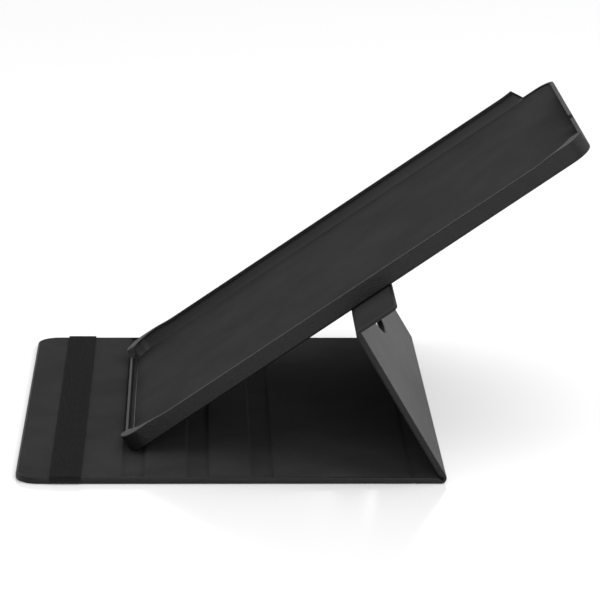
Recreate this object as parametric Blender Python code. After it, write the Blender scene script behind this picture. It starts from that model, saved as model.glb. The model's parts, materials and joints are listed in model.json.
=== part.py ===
"""A rotating folio case for a large tablet, set up in its stand position.

The front cover and the spine lie flat. The prop panel leans back from the spine, a short flap folds
forward from its upper edge, and the tray turns on a hub in that flap. The tray's lower end sits in the
first of three grooves in the front cover. Lengths below are in millimetres; Blender gets metres.

Each panel is drawn flat in its own frame: x runs away from the fold that carries it, y along the fold,
and z = 0 is the top of its outer skin, the line about which the case folds.
"""

import math

import bmesh
import bpy

MM = 0.001

# Cover sheets
COVER_LENGTH = 301.0
FRONT_WIDTH = 212.0
SPINE_WIDTH = 18.2
PROP_WIDTH = 93.6
FLAP_WIDTH = 23.6
SKIN = 0.9
BOARD_Z = (0.3, 1.5)
LINING_Z = (1.8, 2.6)
RIM = 1.2
GAP = 0.3
FOLD_GAP = 1.2
CORNER_RADIUS = 13.0
FOLD_CORNER_RADIUS = 3.0
FLAP_CORNER_RADIUS = 8.0
HEM_ROUNDING = 0.6

# Grooves for the tray's lower end
GROOVE_CENTRES = (62.5, 97.0, 131.5)
GROOVE_WIDTH = 11.5
GROOVE_TOP_Z = 1.0
GROOVE_UNDER_Z = 0.2

# Elastic band
BAND_X = (18.6, 35.1)
BAND_Z = (2.9, 3.7)
BAND_LENGTH = 299.0

# Stand position
PROP_LEAN = math.radians(120.5)
TRAY_TILT = math.radians(34.5)
CREASE_HALF_ANGLE = (math.pi - PROP_LEAN) / 2
CREASE_CLEARANCE = 0.6

# Hub, on the tray's axis of turning
HUB_X = 4.4
DISC_RADIUS = 43.5
NOTCH_RADIUS = 45.5
SOCKET_RADIUS = 22.2
SOCKET_Z = (1.3, 2.55)
BOSS_RADIUS = 14.5
BOSS_Z = (1.15, 3.6)
RETAINER_RADIUS = 18.0
RETAINER_Z = (0.35, 1.0)
SCREW_CIRCLE = 9.0
SCREW_SHANK = 1.0
SCREW_HEAD = 2.2
SCREW_Z = (0.08, 0.3, 2.9)
RUNNING_GAP = 0.3

# Tray
TRAY_LENGTH = 300.0
TRAY_WIDTH = 208.2
TRAY_CORNER = 12.0
TRAY_BACK_Z = 3.1
TRAY_BACK_ROUNDING = 1.5
TRAY_SKIN = 0.5
TRAY_SKIN_WALL = 0.6
SHELL_GAP = 0.15
SHELL_Z = (3.75, 4.55)
SHELL_WALL = 1.1
LINER_Z = (4.65, 4.95)
WALL_TOP_Z = 12.9
LIP_TOP_Z = 13.7
LOW_RIM_Z = 9.9
NOTCH_Z = 6.0
LIP_RADIUS = 24.0
LIP_START_X = 131.0
LIP_START_Y = 88.0
LOW_RIM_Y = (-90.8, 56.3)
RIM_NOTCH_Y = (-35.4, -27.6)
OPEN_CORNER_X = 128.0
BEYOND = 12.0

ARC_STEPS = 6
ROUND_STEPS = 48

# Where the far end of the tray reaches, which sets the middle of the object
FOLD_REACH = FRONT_WIDTH + SPINE_WIDTH + PROP_WIDTH * math.cos(PROP_LEAN)
TRAY_REACH = (HUB_X + TRAY_LENGTH / 2) * math.cos(TRAY_TILT) - TRAY_BACK_Z * math.sin(TRAY_TILT)
ROUNDED_OFF = TRAY_BACK_ROUNDING * (math.cos(TRAY_TILT) + math.sin(TRAY_TILT) - 1)
MIDDLE_X = (FOLD_REACH + TRAY_REACH - ROUNDED_OFF) / 2

MATERIALS = {
    "cover_leather": ((0.025, 0.025, 0.027, 1.0), 0.55, 0.0),
    "suede_lining": ((0.032, 0.032, 0.034, 1.0), 0.92, 0.0),
    "stiffener_board": ((0.12, 0.11, 0.10, 1.0), 0.75, 0.0),
    "woven_elastic": ((0.015, 0.015, 0.017, 1.0), 0.85, 0.0),
    "tray_leather": ((0.022, 0.022, 0.024, 1.0), 0.5, 0.0),
    "tray_plastic": ((0.02, 0.02, 0.022, 1.0), 0.4, 0.0),
    "hub_plastic": ((0.04, 0.04, 0.043, 1.0), 0.45, 0.0),
    "screw_steel": ((0.55, 0.55, 0.57, 1.0), 0.35, 1.0),
}


def clear_scene():
    for obj in list(bpy.data.objects):
        bpy.data.objects.remove(obj, do_unlink=True)


def material(name):
    """One Principled material per slot name, made once."""
    if name in bpy.data.materials:
        return bpy.data.materials[name]
    colour, roughness, metallic = MATERIALS[name]
    made = bpy.data.materials.new(name)
    made.use_nodes = True
    shader = made.node_tree.nodes["Principled BSDF"]
    shader.inputs["Base Color"].default_value = colour
    shader.inputs["Roughness"].default_value = roughness
    shader.inputs["Metallic"].default_value = metallic
    made.diffuse_color = colour
    return made


def frame(name, location, turn_y, parent):
    """An empty on a joint axis. Its x axis runs away from the fold."""
    empty = bpy.data.objects.new(name, None)
    bpy.context.scene.collection.objects.link(empty)
    empty.parent = parent
    empty.location = [value * MM for value in location]
    empty.rotation_euler = (0.0, turn_y, 0.0)
    return empty


def arc(cx, cy, radius, start, end, steps):
    """Points on an arc, from the angle start to the angle end."""
    turn = (end - start) / steps
    return [
        (cx + radius * math.cos(start + turn * i), cy + radius * math.sin(start + turn * i))
        for i in range(steps + 1)
    ]


def rounded_outline(x0, y0, x1, y1, radii):
    """A rectangle with its own radius at each corner: near low, near high, far high, far low."""
    quarter = math.pi / 2
    r0, r1, r2, r3 = radii
    points = arc(x0 + r0, y0 + r0, r0, 2 * quarter, 3 * quarter, ARC_STEPS)
    points += arc(x1 - r1, y0 + r1, r1, -quarter, 0.0, ARC_STEPS)
    points += arc(x1 - r2, y1 - r2, r2, 0.0, quarter, ARC_STEPS)
    points += arc(x0 + r3, y1 - r3, r3, quarter, 2 * quarter, ARC_STEPS)
    return points


def notched_outline(x0, x1, half, radius, corner):
    """The prop panel: a rectangle whose far edge is cut by a circle about the hub."""
    centre = PROP_WIDTH + HUB_X
    across = math.acos((centre - x1) / radius)
    steps = ROUND_STEPS // 2
    points = arc(x0 + corner, half - corner, corner, math.pi / 2, math.pi, ARC_STEPS)
    points += arc(x0 + corner, corner - half, corner, math.pi, 1.5 * math.pi, ARC_STEPS)
    points += [(x1, -half)]
    points += arc(centre, 0.0, radius, math.pi + across, math.pi - across, steps)
    points += [(x1, half)]
    return points


def tab_outline(x0, x1, half, radius, corner):
    """The flap: a narrow strip with the hub's disc bulging past both its long edges."""
    near = math.acos((x1 - HUB_X) / radius)
    back = math.acos((x0 - HUB_X) / radius)
    quarter = math.pi / 2
    steps = ROUND_STEPS // 2
    points = [(x0, -half)]
    points += arc(x1 - corner, corner - half, corner, -quarter, 0.0, ARC_STEPS)
    points += arc(HUB_X, 0.0, radius, -near, near, steps)
    points += arc(x1 - corner, half - corner, corner, 0.0, quarter, ARC_STEPS)
    points += [(x0, half)]
    points += arc(HUB_X, 0.0, radius, back, 2 * math.pi - back, steps)
    return points


def disc_outline(radius, x=0.0, y=0.0, steps=ROUND_STEPS):
    return arc(x, y, radius, 0.0, 2 * math.pi * (steps - 1) / steps, steps - 1)


def finish(name, bm, slot, parent):
    bmesh.ops.recalc_face_normals(bm, faces=bm.faces)
    mesh = bpy.data.meshes.new(name)
    bm.to_mesh(mesh)
    bm.free()
    obj = bpy.data.objects.new(name, mesh)
    bpy.context.scene.collection.objects.link(obj)
    obj.parent = parent
    if slot is None:
        obj.hide_render = True
        obj.display_type = "WIRE"
    else:
        obj.data.materials.append(material(slot))
    return obj


def plate(name, outline, span, slot, parent, rounding=0.0):
    """A flat outline in x and y, raised between two heights. rounding eases the edge of its lower face."""
    bm = bmesh.new()
    low, high = span
    corners = [bm.verts.new((x * MM, y * MM, low * MM)) for x, y in outline]
    base = bm.faces.new(corners)
    edge = list(base.edges)
    raised = bmesh.ops.extrude_face_region(bm, geom=[base], use_keep_orig=True)["geom"]
    lifted = [item for item in raised if isinstance(item, bmesh.types.BMVert)]
    bmesh.ops.translate(bm, verts=lifted, vec=(0.0, 0.0, (high - low) * MM))
    if rounding:
        bmesh.ops.bevel(bm, geom=edge, offset=rounding * MM, segments=3, profile=0.5, affect="EDGES",
                        clamp_overlap=True, material=-1)
    return finish(name, bm, slot, parent)


def length_of_profile(name, profile, half, slot, parent):
    """A profile in x and z, drawn out along y."""
    bm = bmesh.new()
    corners = [bm.verts.new((x * MM, -half * MM, z * MM)) for x, z in profile]
    end = bm.faces.new(corners)
    raised = bmesh.ops.extrude_face_region(bm, geom=[end], use_keep_orig=True)["geom"]
    moved = [item for item in raised if isinstance(item, bmesh.types.BMVert)]
    bmesh.ops.translate(bm, verts=moved, vec=(0.0, 2 * half * MM, 0.0))
    return finish(name, bm, slot, parent)


def shape(obj, cutter, operation="DIFFERENCE"):
    """Cuts obj with cutter, or keeps only what they share."""
    step = obj.modifiers.new(cutter.name, "BOOLEAN")
    step.operation = operation
    step.solver = "EXACT"
    step.object = cutter
    return obj


def crease_cutter(name, at, side, parent):
    """Clears the inner side of a fold that closes: side is -1 for the sheet before it, +1 for the one after."""
    reach = 9.0
    rise = reach * math.tan(CREASE_HALF_ANGLE)
    start = at + side * CREASE_CLEARANCE
    profile = [(start, 0.02), (start + side * reach, rise), (at - side * reach, rise), (at - side * reach, 0.02)]
    return length_of_profile(name, profile, COVER_LENGTH, None, parent)


def box_cutter(name, x_span, y_span, z_span, parent):
    outline = [(x_span[0], y_span[0]), (x_span[1], y_span[0]), (x_span[1], y_span[1]), (x_span[0], y_span[1])]
    return plate(name, outline, z_span, None, parent)


def build_front_cover():
    """The front cover carries everything else: it lies on the table with its lining up."""
    place = frame("front_cover_place", (-MIDDLE_X, 0.0, SKIN), 0.0, None)
    half = COVER_LENGTH / 2
    end = FRONT_WIDTH - FOLD_GAP
    sharp = 0.5

    skin = plate("front_skin", rounded_outline(0.0, -half, end, half, (CORNER_RADIUS, sharp, sharp, CORNER_RADIUS)),
                 (-SKIN, LINING_Z[1]), "cover_leather", place, HEM_ROUNDING)
    inner = CORNER_RADIUS - RIM
    pocket = plate("front_skin_pocket", rounded_outline(RIM, RIM - half, FRONT_WIDTH + BEYOND, half - RIM,
                   (inner, sharp, sharp, inner)), (0.0, BEYOND), None, place)
    shape(skin, pocket)

    inset = RIM + GAP
    edges = [inset]
    for centre in GROOVE_CENTRES:
        wall = GROOVE_WIDTH / 2 + GROOVE_TOP_Z + 0.1
        edges += [centre - wall, centre + wall]
    edges.append(end - inset)
    for index in range(0, len(edges), 2):
        first = CORNER_RADIUS - inset if index == 0 else sharp
        outline = rounded_outline(edges[index], inset - half, edges[index + 1], half - inset,
                                  (first, sharp, sharp, first))
        plate(f"front_board_{index // 2 + 1}", outline, BOARD_Z, "stiffener_board", place)

    # The lining drops into each groove and climbs out again.
    top = [(inset, LINING_Z[1])]
    under = [(inset, LINING_Z[0])]
    cloth = LINING_Z[1] - LINING_Z[0]
    for centre in GROOVE_CENTRES:
        reach = GROOVE_WIDTH / 2
        top += [(centre - reach, LINING_Z[1]), (centre - reach, GROOVE_TOP_Z),
                (centre + reach, GROOVE_TOP_Z), (centre + reach, LINING_Z[1])]
        under += [(centre - reach - cloth, LINING_Z[0]), (centre - reach - cloth, GROOVE_UNDER_Z),
                  (centre + reach + cloth, GROOVE_UNDER_Z), (centre + reach + cloth, LINING_Z[0])]
    top.append((end, LINING_Z[1]))
    under.append((end, LINING_Z[0]))
    lining = length_of_profile("front_lining", top + under[::-1], half, "suede_lining", place)
    radius = CORNER_RADIUS - inset
    shape(lining, plate("front_lining_outline", rounded_outline(inset, inset - half, end + BEYOND, half - inset,
          (radius, sharp, sharp, radius)), (-BEYOND, BEYOND), None, place), "INTERSECT")

    plate("elastic_band", rounded_outline(BAND_X[0], -BAND_LENGTH / 2, BAND_X[1], BAND_LENGTH / 2, (sharp,) * 4),
          BAND_Z, "woven_elastic", place)
    return place


def build_spine(front_place):
    """The spine lies flat between the front cover and the prop panel."""
    place = frame("spine_fold", (FRONT_WIDTH, 0.0, 0.0), 0.0, front_place)
    half = COVER_LENGTH / 2
    end = SPINE_WIDTH - FOLD_GAP
    far = FOLD_CORNER_RADIUS
    sharp = 0.5
    skin = plate("spine_skin", rounded_outline(FOLD_GAP, -half, end, half, (sharp, far, far, sharp)),
                 (-SKIN, LINING_Z[1]), "cover_leather", place, HEM_ROUNDING)
    shape(skin, plate("spine_skin_pocket", rounded_outline(-BEYOND, RIM - half, SPINE_WIDTH + BEYOND, half - RIM,
          (sharp,) * 4), (0.0, BEYOND), None, place))
    crease = crease_cutter("spine_crease", SPINE_WIDTH, -1, place)
    shape(skin, crease)
    inset = RIM + GAP
    deep = BOARD_Z[1] / math.tan(CREASE_HALF_ANGLE)
    board_end = SPINE_WIDTH - CREASE_CLEARANCE - deep - GAP
    plate("spine_board", rounded_outline(FOLD_GAP + GAP, inset - half, board_end, half - inset, (sharp,) * 4),
          BOARD_Z, "stiffener_board", place)
    lining = plate("spine_lining", rounded_outline(FOLD_GAP, inset - half, end, half - inset, (sharp,) * 4),
                   LINING_Z, "suede_lining", place)
    shape(lining, crease)
    return place


def build_prop(spine_place):
    """The prop panel leans back over the spine. Its upper edge is cut round to clear the hub's disc."""
    place = frame("prop_fold", (SPINE_WIDTH, 0.0, 0.0), -PROP_LEAN, spine_place)
    half = COVER_LENGTH / 2
    end = PROP_WIDTH - FOLD_GAP
    sharp = 0.5
    inset = RIM + GAP
    skin = plate("prop_skin", notched_outline(FOLD_GAP, end, half, NOTCH_RADIUS, FOLD_CORNER_RADIUS),
                 (-SKIN, LINING_Z[1]), "cover_leather", place, HEM_ROUNDING)
    shape(skin, plate("prop_skin_pocket", notched_outline(-BEYOND, PROP_WIDTH, half - RIM, NOTCH_RADIUS + RIM, sharp),
          (0.0, BEYOND), None, place))
    crease = crease_cutter("prop_crease", 0.0, 1, place)
    shape(skin, crease)
    deep = BOARD_Z[1] / math.tan(CREASE_HALF_ANGLE)
    plate("prop_board", notched_outline(CREASE_CLEARANCE + deep + GAP, end - GAP, half - inset,
          NOTCH_RADIUS + inset, sharp), BOARD_Z, "stiffener_board", place)
    lining = plate("prop_lining", notched_outline(FOLD_GAP, end, half - inset, NOTCH_RADIUS + inset, sharp),
                   LINING_Z, "suede_lining", place)
    shape(lining, crease)
    return place


def build_flap(prop_place):
    """The flap lies along the tray's back and carries the hub's disc and socket."""
    place = frame("flap_fold", (PROP_WIDTH, 0.0, 0.0), PROP_LEAN - TRAY_TILT, prop_place)
    half = COVER_LENGTH / 2
    inset = RIM + GAP
    skin = plate("flap_skin", tab_outline(FOLD_GAP, FLAP_WIDTH, half, DISC_RADIUS, FLAP_CORNER_RADIUS),
                 (-SKIN, LINING_Z[1]), "cover_leather", place, HEM_ROUNDING)
    shape(skin, plate("flap_skin_pocket", tab_outline(FOLD_GAP - GAP, FLAP_WIDTH - RIM, half - RIM, DISC_RADIUS - RIM,
          FLAP_CORNER_RADIUS - RIM), (0.0, BEYOND), None, place))
    bore = plate("hub_bore", disc_outline(SOCKET_RADIUS + GAP, HUB_X), (-GAP, BEYOND), None, place)
    carrier = plate("flap_board", tab_outline(FOLD_GAP + GAP, FLAP_WIDTH - inset, half - inset, DISC_RADIUS - inset,
                    FLAP_CORNER_RADIUS - inset), BOARD_Z, "stiffener_board", place)
    shape(carrier, bore)
    lining = plate("flap_lining", tab_outline(FOLD_GAP, FLAP_WIDTH - inset, half - inset, DISC_RADIUS - inset,
                   FLAP_CORNER_RADIUS - inset), LINING_Z, "suede_lining", place)
    shape(lining, bore)
    socket = plate("hub_socket", disc_outline(SOCKET_RADIUS, HUB_X), SOCKET_Z, "hub_plastic", place)
    shape(socket, plate("socket_bore", disc_outline(BOSS_RADIUS + RUNNING_GAP, HUB_X), (-GAP, BEYOND), None, place))
    return place


def build_tray(flap_place):
    """The tray turns on the hub. Its origin is on the hub's axis."""
    place = frame("hub_axis", (HUB_X, 0.0, 0.0), 0.0, flap_place)
    x = TRAY_LENGTH / 2
    y = TRAY_WIDTH / 2
    out = x + BEYOND

    # Wall heights: lips at three corners, full walls along the sides, low rims at the ends.
    cross = [(-LIP_START_X, -out), (LIP_START_X, -out), (LIP_START_X, -LIP_START_Y), (out, -LIP_START_Y),
             (out, out), (-LIP_START_X, out), (-LIP_START_X, LIP_START_Y), (-out, LIP_START_Y),
             (-out, -LIP_START_Y), (-LIP_START_X, -LIP_START_Y)]
    end_x = x - SHELL_WALL - TRAY_SKIN_WALL - 2.0
    cuts = [
        plate("cut_lips", cross, (WALL_TOP_Z, WALL_TOP_Z + BEYOND), None, place),
        box_cutter("cut_upper_rim", (end_x, out), LOW_RIM_Y, (LOW_RIM_Z, out), place),
        box_cutter("cut_rim_notch", (end_x, out), RIM_NOTCH_Y, (NOTCH_Z, out), place),
        box_cutter("cut_open_corner", (OPEN_CORNER_X, out), (LOW_RIM_Y[1] - 1.0, out), (NOTCH_Z, out), place),
        box_cutter("cut_lower_rim", (-out, -end_x), (1.0 - LIP_START_Y, LIP_START_Y - 1.0), (LOW_RIM_Z, out), place),
    ]

    skin = plate("tray_skin", rounded_outline(-x, -y, x, y, (TRAY_CORNER,) * 4), (TRAY_BACK_Z, LIP_TOP_Z),
                 "tray_leather", place, TRAY_BACK_ROUNDING)
    wall = TRAY_SKIN_WALL
    shape(skin, plate("tray_skin_pocket", rounded_outline(wall - x, wall - y, x - wall, y - wall,
          (TRAY_CORNER - wall,) * 4), (TRAY_BACK_Z + TRAY_SKIN, out), None, place))
    shape(skin, plate("tray_skin_hole", disc_outline(BOSS_RADIUS + RUNNING_GAP), (0.0, SHELL_Z[0] + GAP), None, place))

    wall = TRAY_SKIN_WALL + SHELL_GAP
    shell = plate("tray_shell", rounded_outline(wall - x, wall - y, x - wall, y - wall, (TRAY_CORNER - wall,) * 4),
                  (SHELL_Z[0], LIP_TOP_Z), "tray_plastic", place)
    wall += SHELL_WALL
    shape(shell, plate("pocket", rounded_outline(wall - x, wall - y, x - wall, y - wall, (TRAY_CORNER - wall,) * 4),
          (SHELL_Z[1], WALL_TOP_Z), None, place))
    lip = LIP_RADIUS
    shape(shell, plate("mouth", rounded_outline(wall - x, wall - y, x - wall, y - wall,
          (lip, lip, TRAY_CORNER - wall, lip)), (WALL_TOP_Z - 1.0, out), None, place))
    for cutter in cuts:
        shape(skin, cutter)
        shape(shell, cutter)

    wall += GAP
    plate("tray_liner", rounded_outline(wall - x, wall - y, x - wall, y - wall, (TRAY_CORNER - wall,) * 4),
          LINER_Z, "suede_lining", place)

    boss = plate("hub_boss", disc_outline(BOSS_RADIUS), BOSS_Z, "hub_plastic", place)
    retainer = plate("hub_retainer", disc_outline(RETAINER_RADIUS), RETAINER_Z, "hub_plastic", place)
    hole = SCREW_SHANK + 0.2
    for index in range(4):
        angle = math.pi / 4 + index * math.pi / 2
        at = (SCREW_CIRCLE * math.cos(angle), SCREW_CIRCLE * math.sin(angle))
        drill = plate(f"screw_hole_{index + 1}", disc_outline(hole, *at, steps=16), (-1.0, SCREW_Z[2] + 0.2), None,
                      place)
        shape(boss, drill)
        shape(retainer, drill)
        screw = plate(f"hub_screw_{index + 1}", disc_outline(SCREW_SHANK, *at, steps=16),
                      ((SCREW_Z[0] + SCREW_Z[1]) / 2, SCREW_Z[2]), "screw_steel", place)
        head = plate(f"screw_head_{index + 1}", disc_outline(SCREW_HEAD, *at, steps=24), SCREW_Z[:2], None, place)
        shape(screw, head, "UNION")


clear_scene()
build_tray(build_flap(build_prop(build_spine(build_front_cover()))))
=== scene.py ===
# %% [markdown]
# # A rotating folio case in its stand position
# The case is a book cover of synthetic leather lined with brushed suede, and a tray that turns on a hub.
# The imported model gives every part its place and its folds. This lesson dresses those parts: leather that is
# really turned round its boards, suede that dips into grooves, a woven band and a moulded tray.
# Every piece is drawn flat in its panel's own frame, in millimetres, then folded and set in place.

import json
import math

import bmesh
import bpy
from mathutils import Matrix, Vector, noise


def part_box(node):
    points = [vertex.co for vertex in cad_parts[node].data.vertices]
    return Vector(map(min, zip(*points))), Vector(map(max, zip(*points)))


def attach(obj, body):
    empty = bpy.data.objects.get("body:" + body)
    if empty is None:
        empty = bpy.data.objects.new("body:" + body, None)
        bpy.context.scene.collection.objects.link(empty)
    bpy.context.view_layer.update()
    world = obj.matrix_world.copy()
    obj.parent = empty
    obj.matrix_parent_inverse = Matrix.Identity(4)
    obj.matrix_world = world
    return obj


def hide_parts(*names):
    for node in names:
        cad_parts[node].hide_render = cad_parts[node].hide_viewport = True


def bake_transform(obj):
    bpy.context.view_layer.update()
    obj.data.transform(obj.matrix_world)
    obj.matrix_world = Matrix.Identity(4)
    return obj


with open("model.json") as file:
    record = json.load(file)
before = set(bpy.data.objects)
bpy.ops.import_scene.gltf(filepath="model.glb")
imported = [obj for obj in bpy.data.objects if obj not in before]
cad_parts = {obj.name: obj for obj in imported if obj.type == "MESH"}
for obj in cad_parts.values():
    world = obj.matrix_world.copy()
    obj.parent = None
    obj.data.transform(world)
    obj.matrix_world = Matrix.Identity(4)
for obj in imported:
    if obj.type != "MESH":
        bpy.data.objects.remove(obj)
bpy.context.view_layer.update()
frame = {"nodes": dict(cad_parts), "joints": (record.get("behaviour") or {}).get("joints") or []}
joints = {joint["name"]: joint for joint in frame["joints"]}

# %% [markdown]
# ## Panel frames
# A folder is easiest to draw unfolded. Each panel gets a frame whose x axis runs away from its fold, whose
# y axis runs along the fold and whose z axis points to the lined side, with z = 0 on top of the leather.
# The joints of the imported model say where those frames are, so nothing has to be fitted by hand. SKIN is the
# leather's thickness, HALF is half the cover's length along its folds, and SPINE and PROP are the widths of
# the spine and the prop panel.

# %% Panel frames from the joints
MM = 0.001
SKIN = 0.9
HALF = 150.5
SPINE = 18.2
PROP = 93.6


def frame_at(origin, x_axis):
    x = Vector(x_axis).normalized()
    y = Vector((0.0, 1.0, 0.0))
    z = x.cross(y)
    turn = Matrix((x, y, z)).transposed().to_4x4()
    return Matrix.Translation(Vector(origin)) @ turn @ Matrix.Scale(MM, 4)


fold_at = {name: Vector(joint["pos_m"]) for name, joint in joints.items()}
hub_axis = Vector(joints["hub_turn"]["axis"]).normalized()
slope = Vector((0.0, 1.0, 0.0)).cross(hub_axis)
front_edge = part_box("front_skin")[0].x
FRONT = frame_at((front_edge, 0.0, SKIN * MM), (1.0, 0.0, 0.0))
SPINE_FRAME = frame_at(fold_at["cover_fold"], (1.0, 0.0, 0.0))
PROP_FRAME = frame_at(fold_at["prop_fold"], fold_at["flap_fold"] - fold_at["prop_fold"])
HUB = frame_at(fold_at["hub_turn"], slope)
FRONT_WIDTH = (fold_at["cover_fold"].x - front_edge) / MM
prop_slope = (fold_at["flap_fold"] - fold_at["prop_fold"]).normalized()
LEAN = math.atan2(prop_slope.z, prop_slope.x)
TILT = math.atan2(slope.z, slope.x)
HUB_X = (fold_at["hub_turn"] - fold_at["flap_fold"]).length / MM
print(f"front cover {FRONT_WIDTH:.1f} mm wide, hub {HUB_X:.1f} mm from the flap's fold")
print(f"prop leans {math.degrees(LEAN):.1f} degrees, tray tilts {math.degrees(TILT):.1f} degrees")

# %% [markdown]
# ## Camera
# The view is a product view in profile: a long lens, a little above the table, almost square to the stand.

# %% Camera
camera = bpy.data.objects.new("camera", bpy.data.cameras.new("camera"))
bpy.context.scene.collection.objects.link(camera)
camera.data.sensor_width = 36.0
camera.data.lens = 205.36
camera.data.clip_end = 50.0
camera.location = (-0.05925, -1.89292, 0.52576)
camera.rotation_euler = [math.radians(angle) for angle in (76.2965, -0.4853, -1.7231)]
bpy.context.scene.camera = camera
print("camera at", [round(value, 3) for value in camera.location])

# %% [markdown]
# ## Drawing an outline
# An outline is drawn as with a pen: straight strokes between points, and arcs that the spin operator sweeps.
# The closed line becomes one face, which an extrusion turns into a slab. Cuts add points only where a later
# bend or groove needs them.

# %% Pen and slab
ARC_STEP = 7.5
WELD = 1e-4
LEVEL = 1e-3


def draw(bm, start, strokes):
    """A face bounded by strokes: (x, y) draws a line, (centre x, centre y, degrees) an arc."""
    first = last = bm.verts.new((start[0], start[1], 0.0))
    for stroke in strokes:
        if len(stroke) == 2:
            point = bm.verts.new((stroke[0], stroke[1], 0.0))
            bm.edges.new((last, point))
            last = point
            continue
        x, y, degrees = stroke
        steps = max(4, round(abs(degrees) / ARC_STEP))
        swept = bmesh.ops.spin(bm, geom=[last], cent=(x, y, 0.0), axis=(0.0, 0.0, 1.0), dvec=(0.0, 0.0, 0.0),
                               angle=math.radians(degrees), steps=steps, use_duplicate=False)
        last = [item for item in swept["geom_last"] if isinstance(item, bmesh.types.BMVert)][0]
    bm.edges.new((last, first))
    bmesh.ops.remove_doubles(bm, verts=bm.verts, dist=WELD)
    bmesh.ops.contextual_create(bm, geom=bm.edges[:])
    return bm


def thicken(bm, low, high):
    """Makes a flat face a closed slab between two heights."""
    bmesh.ops.translate(bm, verts=bm.verts, vec=(0.0, 0.0, low))
    raised = bmesh.ops.extrude_face_region(bm, geom=bm.faces[:], use_keep_orig=True)["geom"]
    lifted = [item for item in raised if isinstance(item, bmesh.types.BMVert)]
    bmesh.ops.translate(bm, verts=lifted, vec=(0.0, 0.0, high - low))
    bmesh.ops.recalc_face_normals(bm, faces=bm.faces)
    return bm


def slab(start, strokes, low, high):
    return thicken(draw(bmesh.new(), start, strokes), low, high)


print(f"arcs are drawn in steps of {ARC_STEP} degrees")


# %% Soft edges, insets and cuts
def level_edges(bm, height):
    return [edge for edge in bm.edges if all(abs(vert.co.z - height) < LEVEL for vert in edge.verts)]


def soften(bm, edges, radius, segments):
    bmesh.ops.bevel(bm, geom=edges, offset=radius, segments=segments, profile=0.5, affect="EDGES",
                    material=-1, clamp_overlap=True)


def cap(bm, height):
    """The largest flat face at a height."""
    flat = [face for face in bm.faces if all(abs(vert.co.z - height) < LEVEL for vert in face.verts)]
    return max(flat, key=lambda face: face.calc_area())


def inset(bm, face, by, down=0.0):
    """Draws a face in from its outline and sinks it; a negative sink raises it."""
    bmesh.ops.inset_region(bm, faces=[face], thickness=by, depth=-down, use_even_offset=True,
                           use_boundary=True)
    return face


def cut(bm, axis, at, clear=0):
    """Slices across an axis; clear keeps only the low side (1) or the high side (-1) and closes the cut."""
    normal = Vector((1.0, 0.0, 0.0)) if axis == 0 else Vector((0.0, 1.0, 0.0))
    if clear < 0:
        normal.negate()
    found = bmesh.ops.bisect_plane(bm, geom=bm.verts[:] + bm.edges[:] + bm.faces[:], dist=1e-5,
                                   plane_co=Vector((at, at, 0.0)), plane_no=normal, clear_outer=bool(clear))
    if clear:
        edges = [item for item in found["geom_cut"] if isinstance(item, bmesh.types.BMEdge)]
        bmesh.ops.edgeloop_fill(bm, edges=edges)


def cuts(bm, axis, low, high, step):
    """Slices a span into equal strips about one step wide."""
    count = max(1, round((high - low) / step))
    for index in range(1, count):
        cut(bm, axis, low + (high - low) * index / count)


print("drawing tools ready")

# %% [markdown]
# ## Folding
# Along a fold the flat drawing is rolled round a small radius. Where the case folds inwards the layers have
# no room, so they are pressed thin towards the crease, as the real boards stop short of it and only leather
# and suede go on.

# %% Folding tools
FOLD_TURN = LEAN
FOLD_RADIUS = 2.1
FLAP_TURN = TILT - LEAN
FLAP_RADIUS = -1.0
RIM_TOP = 2.7
CREASE_SLOPE = math.tan((math.pi - LEAN) / 2)
CREASE_GAP = 0.7
PRESSED_SHARE = 0.28


def smooth(value):
    """Eases from 0 to 1."""
    value = min(1.0, max(0.0, value))
    return value * value * (3.0 - 2.0 * value)


def pressed(z, distance):
    """Layers thin down towards an inward crease at that distance."""
    room = max(CREASE_SLOPE * distance - CREASE_GAP, PRESSED_SHARE * RIM_TOP)
    return z * min(1.0, room / RIM_TOP) if z > 0 else z


def rolled(x, z, turn, radius):
    """A point of the flat drawing, with x = 0 on the fold, after the fold is made."""
    reach = radius * math.tan(turn / 2)
    if x <= -reach:
        return x, z
    if x >= reach:
        return x * math.cos(turn) - z * math.sin(turn), x * math.sin(turn) + z * math.cos(turn)
    part = turn * (x + reach) / (2 * reach)
    arm = z - radius
    return -reach - arm * math.sin(part), radius + arm * math.cos(part)


def fold(bm, at, turn, radius, crease=False):
    """Folds the whole drawing about the line x = at."""
    for vert in bm.verts:
        x, y, z = vert.co
        if crease:
            z = pressed(z, abs(x - at))
        x, z = rolled(x - at, z, turn, radius)
        vert.co = (x + at, y, z)


print(f"the folds turn {math.degrees(FOLD_TURN):.1f} and {math.degrees(FLAP_TURN):.1f} degrees")

# %% [markdown]
# ## Materials
# Each finish is a small recipe of noises on the object's own coordinates, so that nothing needs an image.
# The grain of the leather is a field of rounded cells, suede is fine fibre with broad patches of painted
# sheen in its colour, and the moulded tray has the sandy touch of etched steel tools.


# %% Material helpers
def start_material(name, roughness, metallic=0.0, sheen=0.0, specular=0.5):
    material = bpy.data.materials.new(name)
    material.use_nodes = True
    shader = material.node_tree.nodes["Principled BSDF"]
    shader.inputs["Roughness"].default_value = roughness
    shader.inputs["Metallic"].default_value = metallic
    shader.inputs["Sheen Weight"].default_value = sheen
    shader.inputs["Sheen Roughness"].default_value = 0.45
    shader.inputs["Specular IOR Level"].default_value = specular
    return material, material.node_tree, shader


def add(tree, kind, settings=None, **inputs):
    """Adds a node; each input is a value or another node's output to link."""
    made = tree.nodes.new(kind)
    for key, value in (settings or {}).items():
        setattr(made, key, value)
    for key, value in inputs.items():
        socket = made.inputs[key.replace("_", " ")]
        if isinstance(value, bpy.types.NodeSocket):
            tree.links.new(value, socket)
        else:
            socket.default_value = value
    return made


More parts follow.
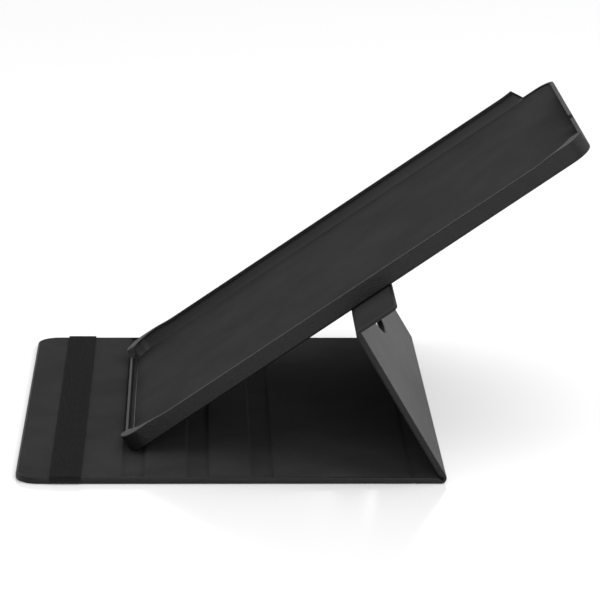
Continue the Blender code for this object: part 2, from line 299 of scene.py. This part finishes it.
def place(tree, scale=(1.0, 1.0, 1.0)):
    coords = add(tree, "ShaderNodeTexCoord")
    made = add(tree, "ShaderNodeMapping", Vector=coords.outputs["Object"], Scale=scale)
    return made.outputs["Vector"]


def fine_noise(tree, vector, scale, detail=3.0, roughness=0.55):
    made = add(tree, "ShaderNodeTexNoise", Vector=vector, Scale=scale, Detail=detail, Roughness=roughness)
    return made.outputs["Fac"]


def plus_share(tree, fine, broad, share=0.35):
    """A share of the fine pattern added to the broad one."""
    made = add(tree, "ShaderNodeMath", {"operation": "MULTIPLY_ADD"})
    tree.links.new(fine, made.inputs[0])
    made.inputs[1].default_value = share
    tree.links.new(broad, made.inputs[2])
    return made.outputs[0]


def ramp(tree, fac, dark, light, low=0.3, high=0.7):
    made = add(tree, "ShaderNodeValToRGB", Fac=fac)
    made.color_ramp.elements[0].position = low
    made.color_ramp.elements[0].color = dark
    made.color_ramp.elements[1].position = high
    made.color_ramp.elements[1].color = light
    return made.outputs["Color"]


def spread_value(tree, value, low, high):
    made = add(tree, "ShaderNodeMapRange", Value=value)
    made.inputs["To Min"].default_value = low
    made.inputs["To Max"].default_value = high
    return made.outputs["Result"]


def bump(tree, shader, height, depth, strength, over=None):
    made = add(tree, "ShaderNodeBump", Height=height, Strength=strength, Distance=depth)
    if over is not None:
        tree.links.new(over.outputs["Normal"], made.inputs["Normal"])
    tree.links.new(made.outputs["Normal"], shader.inputs["Normal"])
    return made


def grey(value, warm=0.0):
    return (value * (1 + warm), value, value * (1 - warm), 1.0)


print("material helpers ready")


# %% Leather and suede
def leather(name, shade, cell, roughness):
    """Embossed synthetic leather: rounded cells, pores between them, faint creases and changes of gloss."""
    material, tree, shader = start_material(name, roughness, specular=0.15)
    vector = place(tree)
    cells = add(tree, "ShaderNodeTexVoronoi", {"feature": "SMOOTH_F1"}, Vector=vector, Scale=cell,
                Smoothness=0.6).outputs["Distance"]
    pores = fine_noise(tree, vector, cell * 3.1)
    slow = fine_noise(tree, vector, 22.0, detail=2.0)
    creases = fine_noise(tree, vector, 190.0, detail=5.0, roughness=0.65)
    grain = plus_share(tree, pores, cells)
    waves = bump(tree, shader, creases, depth=0.0008, strength=0.35)
    bump(tree, shader, grain, depth=-0.00022, strength=0.55, over=waves)
    colour = ramp(tree, cells, grey(shade * 1.15), grey(shade * 0.7), low=0.25, high=0.8)
    tree.links.new(colour, shader.inputs["Base Color"])
    gloss = spread_value(tree, slow, roughness - 0.04, roughness + 0.04)
    tree.links.new(gloss, shader.inputs["Roughness"])
    return material


def suede(name, shade):
    """Brushed microfibre: fine fibres, and broad patches of painted sheen, lighter base colour where stroked
    fibres would catch the light.
    """
    material, tree, shader = start_material(name, 0.95, sheen=0.022, specular=0.025)
    vector = place(tree)
    nap = fine_noise(tree, place(tree, (1.0, 0.35, 1.0)), 2600.0, detail=4.0)
    # Painted sheen: broad noise patches lighten and darken the base colour where brushed fibres would catch
    # the light.
    painted_sheen_patches = fine_noise(tree, vector, 26.0, detail=5.0, roughness=0.62)
    mixed = plus_share(tree, nap, painted_sheen_patches)
    colour = ramp(tree, mixed, grey(shade * 0.74), grey(shade * 1.3), low=0.45, high=0.9)
    tree.links.new(colour, shader.inputs["Base Color"])
    bump(tree, shader, nap, depth=0.00012, strength=0.5)
    return material


cover_leather = leather("cover leather", shade=0.0066, cell=1150.0, roughness=0.5)
tray_leather = leather("tray leather", shade=0.007, cell=1300.0, roughness=0.46)
lining_suede = suede("lining suede", shade=0.017)
print("leathers and suede mixed")


# %% Elastic, plastics and steel
def elastic(name, shade):
    """Woven elastic: the ribs are in the shape, the cross threads are fine bands along the length."""
    material, tree, shader = start_material(name, 0.85, sheen=0.006, specular=0.03)
    vector = place(tree)
    threads = add(tree, "ShaderNodeTexWave", {"bands_direction": "Y"}, Vector=vector, Scale=420.0,
                  Distortion=0.6).outputs["Fac"]
    colour = ramp(tree, threads, grey(shade * 0.7), grey(shade * 1.3), low=0.2, high=0.8)
    tree.links.new(colour, shader.inputs["Base Color"])
    bump(tree, shader, threads, depth=0.00015, strength=0.7)
    return material


def moulded(name, shade, roughness, warm=0.0):
    """Plastic from an etched mould: a fine sand texture under an even satin."""
    material, tree, shader = start_material(name, roughness, specular=0.3)
    vector = place(tree)
    sand = fine_noise(tree, vector, 1800.0, detail=2.0)
    slow = fine_noise(tree, vector, 30.0)
    bump(tree, shader, sand, depth=0.00006, strength=0.5)
    colour = ramp(tree, slow, grey(shade * 0.85, warm), grey(shade * 1.15, warm))
    tree.links.new(colour, shader.inputs["Base Color"])
    satin = spread_value(tree, sand, roughness - 0.08, roughness + 0.08)
    tree.links.new(satin, shader.inputs["Roughness"])
    return material


def steel(name):
    """Turned steel: fine rings of lighter and darker grey."""
    material, tree, shader = start_material(name, 0.35, metallic=1.0)
    rings = fine_noise(tree, place(tree, (1.0, 8.0, 1.0)), 900.0)
    tree.links.new(ramp(tree, rings, grey(0.42), grey(0.62)), shader.inputs["Base Color"])
    return material


band_elastic = elastic("band elastic", shade=0.0078)
tray_plastic = moulded("tray plastic", shade=0.012, roughness=0.42)
hub_plastic = moulded("hub plastic", shade=0.035, roughness=0.5)
board_stock = moulded("board stock", shade=0.03, roughness=0.7, warm=0.05)
screw_steel = steel("screw steel")
print(len(bpy.data.materials), "materials")


# %% [markdown]
# ## Finishing a piece
# The drawing is put in place by its panel's frame, so the object itself stays at the origin. Faces are
# smooth, real edges stay crisp, and a weighted-normal modifier keeps the flats flat next to their rounded
# edges.

# %% Finish a piece
SHARP = math.radians(50)


def finished(name, bm, matrix, material):
    bmesh.ops.transform(bm, matrix=matrix, verts=bm.verts)
    bmesh.ops.recalc_face_normals(bm, faces=bm.faces)
    for face in bm.faces:
        face.smooth = True
    mesh = bpy.data.meshes.new(name)
    bm.to_mesh(mesh)
    bm.free()
    mesh.materials.append(material)
    mesh.set_sharp_from_angle(angle=SHARP)
    piece = bpy.data.objects.new(name, mesh)
    bpy.context.scene.collection.objects.link(piece)
    even = piece.modifiers.new("even normals", "WEIGHTED_NORMAL")
    even.keep_sharp = True
    print(f"{name}: {len(mesh.polygons)} faces")
    return piece


print(f"edges sharper than {math.degrees(SHARP):.0f} degrees stay crisp")


# %% [markdown]
# ## Front cover
# The leather is one sheet turned up round the boards: outside it is flat, at its edges it rolls over, and
# inside it stops under the lining. A slab with rounded rims and a sunk middle is exactly that shape. It is
# cut open at the spine side, where the leather runs on across the fold.

# %% Turned leather
CORNER = 13.0
SMALL_CORNER = 4.0
SEAM = 1.2
SHEET_END = FRONT_WIDTH + SEAM
OVERRUN = 30.0
EDGE_STEPS = 4
TURNED_EDGE = 1.0
TURNED_LAND = 0.3
DRAFT = 0.02


def rounded_strokes(x0, x1, half, near, far):
    """Strokes of a rectangle with one radius at its x0 corners and another at its x1 corners."""
    return (x0 + near, -half), [(x1 - far, -half), (x1 - far, far - half, 90), (x1, half - far),
                                (x1 - far, half - far, 90), (x0 + near, half), (x0 + near, half - near, 90),
                                (x0, near - half), (x0 + near, near - half, 90)]


def turned_leather(start, strokes):
    """A slab with rolled edges and a sunk middle: leather turned up round its boards."""
    bm = slab(start, strokes, -SKIN, RIM_TOP)
    soften(bm, level_edges(bm, -SKIN), SKIN, EDGE_STEPS)
    soften(bm, level_edges(bm, RIM_TOP), TURNED_EDGE, EDGE_STEPS)
    face = inset(bm, cap(bm, RIM_TOP), TURNED_LAND)
    inset(bm, face, DRAFT, RIM_TOP)
    return bm


print(f"leather turned up {RIM_TOP:.1f} mm round the boards, corners of {CORNER:.0f} mm")

# %% Front cover leather
PLAIN_END = 208.0
PLAIN_STEP = 16.0
LEATHER_CREASE = (0.4, 1.1)


def crease_dip(distance, depth, width):
    """How deep a soft crease is at a distance from its middle."""
    return depth * math.exp(-((distance / width) ** 2))


bm = turned_leather(*rounded_strokes(0.0, SHEET_END + OVERRUN, HALF, CORNER, SMALL_CORNER))
cut(bm, 0, SHEET_END, 1)
cuts(bm, 0, 0.0, PLAIN_END, PLAIN_STEP)
cuts(bm, 0, PLAIN_END, SHEET_END, 0.5)
cuts(bm, 1, -HALF, HALF, PLAIN_STEP)
for vert in bm.verts:
    if vert.co.z < 0:
        vert.co.z += crease_dip(vert.co.x - FRONT_WIDTH, *LEATHER_CREASE)
front_leather = finished("front_cover_leather", bm, FRONT, cover_leather)
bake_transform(front_leather)
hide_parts("front_skin")

# %% [markdown]
# ## Front cover lining
# The suede is laid over four padded panels and pressed down into three grooves between them, where the
# tray's end can stand. A hem line is pressed all round, a little way in from the edge. The sheet is cut by
# the groove edges first, so that only their points have to be moved down.

# %% Grooves, hem and nap
GROOVES = (62.5, 97.0, 131.5)
GROOVE_HALF = 5.75
GROOVE_DEPTH = 1.6
GROOVE_SOFT = 1.0
HEM = 7.0
HEM_SINK = 0.22
HEM_HALF = 0.45
LINING = (1.8, 2.6)
LINING_MIDDLE = sum(LINING) / 2
LINING_INSET = 1.45
LINING_CORNER = 8.0


def hemmed(bm, top, first, sink):
    """Presses a line into the top face, first mm in from its edge."""
    face = inset(bm, cap(bm, top), first - HEM_HALF)
    inset(bm, face, HEM_HALF)
    bottom = set(face.verts)
    inset(bm, face, HEM_HALF)
    for vert in bottom - set(face.verts):
        vert.co.z -= sink


def groove_drop(x):
    """How far the lining is pressed down at a distance from the cover's free edge."""
    drop = 0.0
    for centre in GROOVES:
        inside = GROOVE_HALF - abs(x - centre)
        drop = max(drop, smooth((inside + GROOVE_SOFT) / (2 * GROOVE_SOFT)))
    return drop * GROOVE_DEPTH


def brushed(x, y, depth=0.1, size=28.0):
    """Soft cloth is never quite level: a slow wave of that depth and size."""
    return depth * noise.noise(Vector((x / size, y / size, 3.7)))


print(f"{len(GROOVES)} grooves, {2 * GROOVE_HALF:.1f} mm wide and {GROOVE_DEPTH:.1f} mm deep")

# %% Front cover lining
PAD = 0.12
LINING_STEP = 7.0
LINING_CREASE = (0.7, 1.4)
LINING_PLAIN_END = 207.0

outline = rounded_strokes(LINING_INSET, SHEET_END + OVERRUN, HALF - LINING_INSET, CORNER - LINING_INSET,
                          LINING_CORNER)
bm = slab(*outline, *LINING)
hemmed(bm, LINING[1], HEM - LINING_INSET, HEM_SINK)
cut(bm, 0, SHEET_END, 1)
for centre in GROOVES:
    for side in (-1, 1):
        for step in (-1.0, -0.6, -0.25, 0.25, 0.6, 1.0):
            cut(bm, 0, centre + side * (GROOVE_HALF + step * GROOVE_SOFT))
cuts(bm, 0, 0.0, GROOVES[0] - 6.5, LINING_STEP)
cuts(bm, 0, GROOVES[-1] + 6.0, LINING_PLAIN_END, LINING_STEP)
cuts(bm, 0, LINING_PLAIN_END, SHEET_END, 0.6)
cuts(bm, 1, -HALF, HALF, 9.0)
for vert in bm.verts:
    x, y, z = vert.co
    pad = 0.0 if z < LINING_MIDDLE else PAD * (1 - groove_drop(x) / GROOVE_DEPTH)
    crease = crease_dip(x - FRONT_WIDTH, *LINING_CREASE)
    vert.co.z = z + pad - groove_drop(x) - crease + brushed(x, y)
front_suede = finished("front_cover_suede", bm, FRONT, lining_suede)
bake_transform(front_suede)
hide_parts("front_lining")

# %% [markdown]
# ## Elastic band
# A flat woven band lies across the cover near its free edge. At both ends it goes over the leather's rim and
# down the edge, where it is sewn. Its ribs run along it, so the shape is a thin strip cut lengthwise many
# times and lifted into rounded cords, and its ends are then bent round a small radius.

# %% Elastic band
BAND = (18.6, 35.1)
BAND_Z = (2.85, 3.55)
BAND_HALF = 152.6
BAND_TURN = 149.8
BAND_BEND = 1.0
RIBS = 15
RIB_DEPTH = 0.22
BAND_CORNER = 0.4
BEND_STEP = 0.25

bm = slab(*rounded_strokes(BAND[0], BAND[1], BAND_HALF, BAND_CORNER, BAND_CORNER), *BAND_Z)
cuts(bm, 0, BAND[0], BAND[1], (BAND[1] - BAND[0]) / (RIBS * 4))
cuts(bm, 1, -BAND_HALF, BAND_HALF, 20.0)
cuts(bm, 1, -BAND_HALF, -BAND_TURN + 0.5, BEND_STEP)
cuts(bm, 1, BAND_TURN - 0.5, BAND_HALF, BEND_STEP)
for vert in bm.verts:
    x, y, z = vert.co
    rib = abs(math.sin(math.pi * RIBS * (x - BAND[0]) / (BAND[1] - BAND[0]))) ** 0.5
    sink = RIB_DEPTH * (rib - 1.0)
    z += (sink if z > sum(BAND_Z) / 2 else -sink) + brushed(x, y, depth=0.06, size=60.0)
    past = abs(y) - BAND_TURN
    if past > 0:
        arm = z - BAND_Z[0] + BAND_BEND
        turn = min(past / BAND_BEND, math.pi / 2)
        drop = max(0.0, past - BAND_BEND * math.pi / 2)
        y = math.copysign(BAND_TURN + arm * math.sin(turn), y)
        z = BAND_Z[0] - BAND_BEND + arm * math.cos(turn) - drop
    vert.co = (x, y, z)
band = finished("elastic_band_woven", bm, FRONT, band_elastic)
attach(band, "front_cover")
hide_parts("elastic_band")

# %% [markdown]
# ## Spine
# The spine's leather starts where the front cover's ends, lies flat, then rolls up round the fold into the
# prop panel. It is drawn unrolled, pressed thin at the fold and rolled.

# %% Spine leather
NEXT = 4.0
SPINE_PLAIN_END = 12.0


def spine_slices(bm):
    cut(bm, 0, SEAM, -1)
    cut(bm, 0, SPINE + NEXT, 1)
    cuts(bm, 0, SEAM, SPINE_PLAIN_END, 3.0)
    cuts(bm, 0, SPINE_PLAIN_END, SPINE + NEXT, 0.45)
    cuts(bm, 1, -HALF, HALF, PLAIN_STEP)


bm = turned_leather(*rounded_strokes(SEAM - OVERRUN, SPINE + NEXT + OVERRUN, HALF, SMALL_CORNER,
                                     SMALL_CORNER))
spine_slices(bm)
fold(bm, SPINE, FOLD_TURN, FOLD_RADIUS, crease=True)
spine_leather = finished("spine_leather", bm, SPINE_FRAME, cover_leather)
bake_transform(spine_leather)
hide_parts("spine_skin")

# %% Spine lining
outline = rounded_strokes(SEAM - OVERRUN, SPINE + NEXT + OVERRUN, HALF - LINING_INSET, LINING_CORNER,
                          LINING_CORNER)
bm = slab(*outline, *LINING)
hemmed(bm, LINING[1], HEM - LINING_INSET, HEM_SINK)
spine_slices(bm)
for vert in bm.verts:
    pad = PAD if vert.co.z > LINING_MIDDLE else 0.0
    vert.co.z += pad + brushed(vert.co.x + FRONT_WIDTH, vert.co.y)
    vert.co.z -= crease_dip(vert.co.x, *LINING_CREASE)
fold(bm, SPINE, FOLD_TURN, FOLD_RADIUS, crease=True)
spine_suede = finished("spine_suede", bm, SPINE_FRAME, lining_suede)
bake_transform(spine_suede)
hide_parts("spine_lining")

# %% [markdown]
# ## Prop panel and flap
# One sheet covers the prop panel and the flap above it. A round opening, centred on the hub, is cut in it so
# that the hub's disc can swing through. The flap has no board, so it is thinner than the panel, and the fold
# sits a little above the joint's line, close under the tray. Beside the disc the sheet is tucked into the
# disc's rim, so its opening is smaller there.

# %% Outline of the prop and flap sheet
DISC = 43.5
NOTCH = 45.5
TUCK = 42.7
RAISE = 1.7
FLAP = 24.3
FLAP_CORNER = 4.2
FOLD_AT = PROP + RAISE
SHEET_TOP = FOLD_AT + FLAP
STEP_AT = FOLD_AT + 0.2
NOTCH_CENTRE = PROP + HUB_X
DISC_CENTRE = FOLD_AT + HUB_X - 0.12


def notched_strokes(x0, x1, half, corner, around, beside):
    """A sheet with a round opening at its far edge: radius around below STEP_AT, beside above it."""
    low = math.degrees(math.acos((NOTCH_CENTRE - STEP_AT) / around))
    top = math.degrees(math.asin((x1 - DISC_CENTRE) / beside))
    side = math.degrees(math.asin((DISC_CENTRE - STEP_AT) / beside))
    reach = beside * math.cos(math.radians(top))
    waist = beside * math.cos(math.radians(side))
    wide = around * math.sin(math.radians(low))
    return (x0, -half), [(x1 - corner, -half), (x1 - corner, corner - half, 90), (x1, -reach),
                         (DISC_CENTRE, 0.0, -(top + side)), (STEP_AT, -wide), (NOTCH_CENTRE, 0.0, -2 * low),
                         (STEP_AT, waist), (DISC_CENTRE, 0.0, -(top + side)), (x1, half - corner),
                         (x1 - corner, half - corner, 90), (x0, half)]


print(f"flap {FLAP:.1f} mm high, round opening {2 * NOTCH:.0f} mm across")

# %% Prop and flap leather
FLAP_THIN = 0.61
THIN_BEFORE = 2.4
THIN_OVER = 3.0
FOLD_REACH = 3.0


def prop_slices(bm):
    cut(bm, 0, NEXT, -1)
    cuts(bm, 0, NEXT, 8.0, 1.0)
    cuts(bm, 0, 8.0, 88.0, 10.0)
    cuts(bm, 0, FOLD_AT - FOLD_REACH, FOLD_AT + FOLD_REACH, 0.35)
    cuts(bm, 1, -HALF, HALF, 12.0)


def thinned(x, z):
    """Layers get thinner across the flap's fold."""
    if z <= 0:
        return z
    return z * (1.0 - FLAP_THIN * smooth((x - FOLD_AT + THIN_BEFORE) / THIN_OVER))


bm = turned_leather(*notched_strokes(NEXT - OVERRUN, SHEET_TOP, HALF, FLAP_CORNER, NOTCH, TUCK))
prop_slices(bm)
for vert in bm.verts:
    vert.co.z = thinned(vert.co.x, pressed(vert.co.z, vert.co.x))
fold(bm, FOLD_AT, FLAP_TURN, FLAP_RADIUS)
prop_leather = finished("prop_and_flap_leather", bm, PROP_FRAME, cover_leather)
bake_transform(prop_leather)
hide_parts("prop_skin")

# %% Prop and flap lining
FLAP_HEM = 3.5
FLAP_HEM_SINK = 0.15
PROP_PAD = 0.1
NAP_SHIFT = 400.0

outline = notched_strokes(NEXT - OVERRUN, SHEET_TOP - LINING_INSET, HALF - LINING_INSET, FLAP_CORNER - 1.4,
                          NOTCH + LINING_INSET, TUCK + LINING_INSET)
bm = slab(*outline, *LINING)
hemmed(bm, LINING[1], FLAP_HEM - LINING_INSET, FLAP_HEM_SINK)
prop_slices(bm)
for vert in bm.verts:
    pad = PROP_PAD if vert.co.z > LINING_MIDDLE else 0.0
    z = pressed(vert.co.z + pad + brushed(vert.co.x, vert.co.y + NAP_SHIFT), vert.co.x)
    vert.co.z = thinned(vert.co.x, z)
fold(bm, FOLD_AT, FLAP_TURN, FLAP_RADIUS)
prop_suede = finished("prop_and_flap_suede", bm, PROP_FRAME, lining_suede)
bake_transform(prop_suede)
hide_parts("prop_lining")

# %% [markdown]
# ## Hub disc
# A leather-covered disc in the flap holds the hub's socket. Its leather starts as a filled circle, is made a
# slab and turned like the cover's, with a ring pressed in its outer face. The board and the lining inside it
# are rings, each one profile spun about the hub's axis.

# %% Leather of the hub disc
ROUND_STEPS = 96
DISC_TOP = 2.85
PRESSED_RING_IN = 3.4
PRESSED_RING_HALF = 0.5
PRESSED_RING_DEPTH = 0.3


def on_disc(name, bm, material, node):
    piece = finished(name, bm, HUB, material)
    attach(piece, "hub_flap")
    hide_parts(node)
    return piece


bm = bmesh.new()
bmesh.ops.create_circle(bm, cap_ends=True, segments=ROUND_STEPS, radius=DISC)
thicken(bm, -SKIN, DISC_TOP)
soften(bm, level_edges(bm, -SKIN), SKIN, EDGE_STEPS)
soften(bm, level_edges(bm, DISC_TOP), 0.8, EDGE_STEPS)
face = inset(bm, cap(bm, DISC_TOP), 0.4)
inset(bm, face, DRAFT, DISC_TOP)
face = inset(bm, cap(bm, -SKIN), PRESSED_RING_IN)
inset(bm, face, PRESSED_RING_HALF, PRESSED_RING_DEPTH)
inset(bm, face, PRESSED_RING_HALF, -PRESSED_RING_DEPTH)
on_disc("hub_disc_leather", bm, cover_leather, "flap_skin")

# %% Board and lining of the disc
BOARD_HOLE, BOARD_EDGE = 23.0, 41.0
BOARD_LOW, BOARD_HIGH = 0.3, 1.5
CLOTH_HOLE, CLOTH_EDGE = 22.6, 42.1
CLOTH_SOFT = 0.2


def ring(profile):
    """A closed profile of (radius, height) points spun once about the hub's axis."""
    bm = bmesh.new()
    points = [bm.verts.new((radius, 0.0, height)) for radius, height in profile]
    edges = [bm.edges.new((points[index - 1], points[index])) for index in range(len(points))]
    bmesh.ops.spin(bm, geom=points + edges, cent=(0.0, 0.0, 0.0), axis=(0.0, 0.0, 1.0), dvec=(0.0, 0.0, 0.0),
                   angle=math.tau, steps=ROUND_STEPS, use_merge=True, use_duplicate=False)
    bmesh.ops.remove_doubles(bm, verts=bm.verts, dist=WELD)
    bmesh.ops.recalc_face_normals(bm, faces=bm.faces)
    return bm


card = ring([(BOARD_HOLE, BOARD_LOW), (BOARD_EDGE, BOARD_LOW), (BOARD_EDGE, BOARD_HIGH),
             (BOARD_HOLE, BOARD_HIGH)])
on_disc("hub_disc_board", card, board_stock, "flap_board")
low, high = LINING
cloth = ring([(CLOTH_HOLE, low), (CLOTH_EDGE, low), (CLOTH_EDGE, high - CLOTH_SOFT),
              (CLOTH_EDGE - CLOTH_SOFT, high), (CLOTH_HOLE + CLOTH_SOFT, high),
              (CLOTH_HOLE, high - CLOTH_SOFT)])
disc_suede = on_disc("hub_disc_suede", cloth, lining_suede, "flap_lining")

# %% [markdown]
# ## Tray
# The tray is a shallow plastic pan wrapped in thin leather. The leather is turned over the rim and a little
# way down inside. Lips cover three corners of the tablet, the ends of the rim are low, and one corner is
# open. Both shells start as a full-height pan; one height function then lowers the rim where it is cut away.

# %% Tray rim
TRAY = (150.0, 104.1)
TRAY_CORNER = 12.0
RIM_BASE = 5.2
LIP_TOP = 13.7
WALL_TOP = 12.9
LOW_RIM = 9.9
OPEN_RIM = 6.0
LIPPED = ((-1, -1), (1, -1), (-1, 1))
LIP_ARC = 24.0
LIP_START = (118.0, 76.0)
LIP_RAMP = 14.0
END_START = 140.0
RAMP = 4.0
UPPER_LOW = (-93.0, 58.0)
LOWER_LOW = 90.0
SLOT = (-36.4, -26.6)
SLOT_RAMP = 1.5
OPEN_CORNER = (126.0, 54.0)


def rim_height(x, y):
    """The rim's height: lips at three corners, low ends with a slot in the upper one, one open corner."""
    lip = smooth((abs(x) - LIP_START[0]) / LIP_RAMP) * smooth((abs(y) - LIP_START[1]) / LIP_RAMP)
    height = WALL_TOP + (LIP_TOP - WALL_TOP) * lip
    end = smooth((abs(x) - END_START) / RAMP)
    if x > 0:
        low = end * smooth((y - UPPER_LOW[0]) / RAMP) * smooth((UPPER_LOW[1] - y) / RAMP)
        notch = end * smooth((y - SLOT[0]) / SLOT_RAMP) * smooth((SLOT[1] - y) / SLOT_RAMP)
    else:
        low = end * smooth((LOWER_LOW - abs(y)) / RAMP)
        notch = 0.0
    opening = smooth((x - OPEN_CORNER[0]) / RAMP) * smooth((y - OPEN_CORNER[1]) / RAMP)
    height += (LOW_RIM - height) * low
    return height + (OPEN_RIM - height) * max(notch, opening)


CHANGES_ALONG = ((-132, -118, 3.5), (118, 132, 2.0), (-144, -140, 1.0), (140, 144, 1.0))
CHANGES_ACROSS = ((-90, -76, 3.5), (-94, -88, 1.0), (76, 92, 2.0), (53, 59, 1.0), (-37, -26, 0.5))


def lower_rim(bm, top):
    """Adds points where the rim changes height, then scales each wall point to the rim's height there."""
    for axis, spans in enumerate((CHANGES_ALONG, CHANGES_ACROSS)):
        for low, high, step in spans:
            cuts(bm, axis, low - step, high + step, step)
    for vert in bm.verts:
        x, y, z = vert.co
        if z > RIM_BASE:
            reach = rim_height(x, y) - (LIP_TOP - top)
            vert.co.z = RIM_BASE + (z - RIM_BASE) * (reach - RIM_BASE) / (top - RIM_BASE)


print(f"rim {WALL_TOP:.1f} mm high, {LIP_TOP:.1f} mm at {len(LIPPED)} lipped corners")


# %% Tray tools
def tray_pan(inset_by, low, high):
    """A full-height slab of the tray's outline, drawn in by a margin."""
    arc = TRAY_CORNER - inset_by
    end = TRAY[0] - inset_by
    return slab(*rounded_strokes(-end, end, TRAY[1] - inset_by, arc, arc), low, high)


def spread_corners(bm, face, inset_by, factor):
    """Scales the corner arcs of an outline about the points where their walls would meet."""
    for side_x, side_y in LIPPED:
        apex = Vector((side_x * (TRAY[0] - inset_by), side_y * (TRAY[1] - inset_by), 0.0))
        reach = (TRAY_CORNER - inset_by) * max(1.0, 1.0 / factor) + 0.3
        away = {vert: vert.co - apex for vert in face.verts}
        near = [vert for vert, step in away.items() if max(abs(step.x), abs(step.y)) < reach]
        bmesh.ops.scale(bm, vec=(factor, factor, 1.0), space=Matrix.Translation(-apex), verts=near)


def widen(bm, face, by):
    """Grows an outline by the same length on every side."""
    wide = max(vert.co.x for vert in face.verts)
    deep = max(vert.co.y for vert in face.verts)
    bmesh.ops.scale(bm, vec=((wide + by) / wide, (deep + by) / deep, 1.0), verts=face.verts[:])


print(f"tray {2 * TRAY[0]:.0f} by {2 * TRAY[1]:.1f} mm")

# %% Tray leather
MOUTH = 1.9
MOUTH_EDGE = 0.15
LIP_THICK = 0.45
TURNED_IN = 1.6
WRAP_BOTTOM = 3.1
WRAP_FLOOR = 3.7
WRAP_BASE_EDGE = 1.4
WRAP_TOP_EDGE = 0.6
WIDER_BELOW = 1.25
HAIR = 0.01

spread = LIP_ARC / (TRAY_CORNER - MOUTH)
bm = tray_pan(0.0, WRAP_BOTTOM, LIP_TOP)
soften(bm, level_edges(bm, WRAP_BOTTOM), WRAP_BASE_EDGE, 5)
soften(bm, level_edges(bm, LIP_TOP), WRAP_TOP_EDGE, EDGE_STEPS)
face = inset(bm, cap(bm, LIP_TOP), MOUTH - WRAP_TOP_EDGE - MOUTH_EDGE)
spread_corners(bm, face, MOUTH - MOUTH_EDGE, spread)
inset(bm, face, MOUTH_EDGE, MOUTH_EDGE)
inset(bm, face, HAIR, LIP_THICK)
inset(bm, face, HAIR)
spread_corners(bm, face, MOUTH, 1.0 / spread)
inset(bm, face, HAIR, TURNED_IN)
inset(bm, face, HAIR)
widen(bm, face, WIDER_BELOW)
inset(bm, face, HAIR, LIP_TOP - MOUTH_EDGE - LIP_THICK - TURNED_IN - WRAP_FLOOR)
lower_rim(bm, LIP_TOP)
tray_wrap = finished("tray_leather_wrap", bm, HUB, tray_leather)
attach(tray_wrap, "tray")
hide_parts("tray_skin")

# %% Tray moulding
PAN_INSET = 0.75
PAN_BOTTOM = 3.8
PAN_TOP = 11.4
PAN_WALL = 1.0
PAN_DRAFT = 0.05
PAN_EDGE = 0.6
PAN_SINK = 0.65

bm = tray_pan(PAN_INSET, PAN_BOTTOM, PAN_TOP)
soften(bm, level_edges(bm, PAN_BOTTOM), PAN_EDGE, 3)
face = inset(bm, cap(bm, PAN_TOP), PAN_WALL)
inset(bm, face, PAN_DRAFT, PAN_TOP - RIM_BASE)
inset(bm, face, PAN_EDGE, PAN_SINK)
lower_rim(bm, PAN_TOP)
tray_moulding = finished("tray_moulding", bm, HUB, tray_plastic)
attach(tray_moulding, "tray")
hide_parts("tray_shell")

# %% Tray floor
LINER = (4.65, 4.95)
FLOOR = (147.7, 101.8)
FLOOR_CORNER = 9.9
FLOOR_HEM = 6.0
FLOOR_STEP = 14.0

bm = slab(*rounded_strokes(-FLOOR[0], FLOOR[0], FLOOR[1], FLOOR_CORNER, FLOOR_CORNER), *LINER)
hemmed(bm, LINER[1], FLOOR_HEM, 0.12)
for axis in (0, 1):
    cuts(bm, axis, -FLOOR[axis], FLOOR[axis], FLOOR_STEP)
for vert in bm.verts:
    vert.co.z += brushed(vert.co.x, vert.co.y, depth=0.05, size=40.0)
floor_suede = finished("tray_floor_suede", bm, HUB, lining_suede)
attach(floor_suede, "tray")
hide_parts("tray_liner")

# %% [markdown]
# ## Hidden parts
# The boards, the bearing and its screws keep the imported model's shapes; they only need their finishes.

# %% Finishes of the hidden parts
FINISHES = {
    "board": board_stock,
    "hub_socket": hub_plastic,
    "hub_boss": hub_plastic,
    "hub_retainer": hub_plastic,
    "hub_screw": screw_steel,
}
dressed = 0
for name, node in frame["nodes"].items():
    for word, material in FINISHES.items():
        if word in name:
            node.data.materials.clear()
            node.data.materials.append(material)
            dressed += 1
print(dressed, "packed nodes given their finish")

# %% [markdown]
# ## Table and light
# A white table, a white surround and three large soft lamps: one high on the right, which grazes the prop
# panel, one overhead, and one low in front, which lights the tray's side and the edges of the cover.

# %% Table
bpy.ops.mesh.primitive_plane_add(size=6.0, location=(0.0, 0.0, 0.0))
table = bpy.context.object
table.name = "table"
table_material, _, table_shader = start_material("white table", 0.16, specular=0.9)
table_shader.inputs["Base Color"].default_value = (0.8, 0.8, 0.8, 1.0)
table.data.materials.append(table_material)
print("table", [round(side, 1) for side in table.dimensions], "m")

# %% Surround and lamps
world = bpy.data.worlds.new("surround")
bpy.context.scene.world = world
world.use_nodes = True
background = world.node_tree.nodes["Background"]
background.inputs["Color"].default_value = (1.0, 1.0, 1.0, 1.0)
background.inputs["Strength"].default_value = 1.0


def lamp(name, place_at, look_at, size, power):
    light = bpy.data.lights.new(name, "AREA")
    light.size = size
    light.energy = power
    made = bpy.data.objects.new(name, light)
    bpy.context.scene.collection.objects.link(made)
    made.location = place_at
    made.rotation_euler = (Vector(look_at) - Vector(place_at)).to_track_quat("-Z", "Y").to_euler()
    print(f"{name}: {power:.0f} W, {size:.1f} m wide")


lamp("right lamp", (1.6, -0.2, 1.2), (0.05, 0.0, 0.05), size=1.2, power=12.0)
lamp("top lamp", (0.5, -0.3, 1.8), (0.0, 0.0, 0.0), size=1.6, power=12.0)
lamp("front lamp", (0.2, -1.6, 0.5), (-0.03, -0.1, 0.03), size=1.0, power=13.0)
bpy.context.scene.view_settings.view_transform = "Standard"
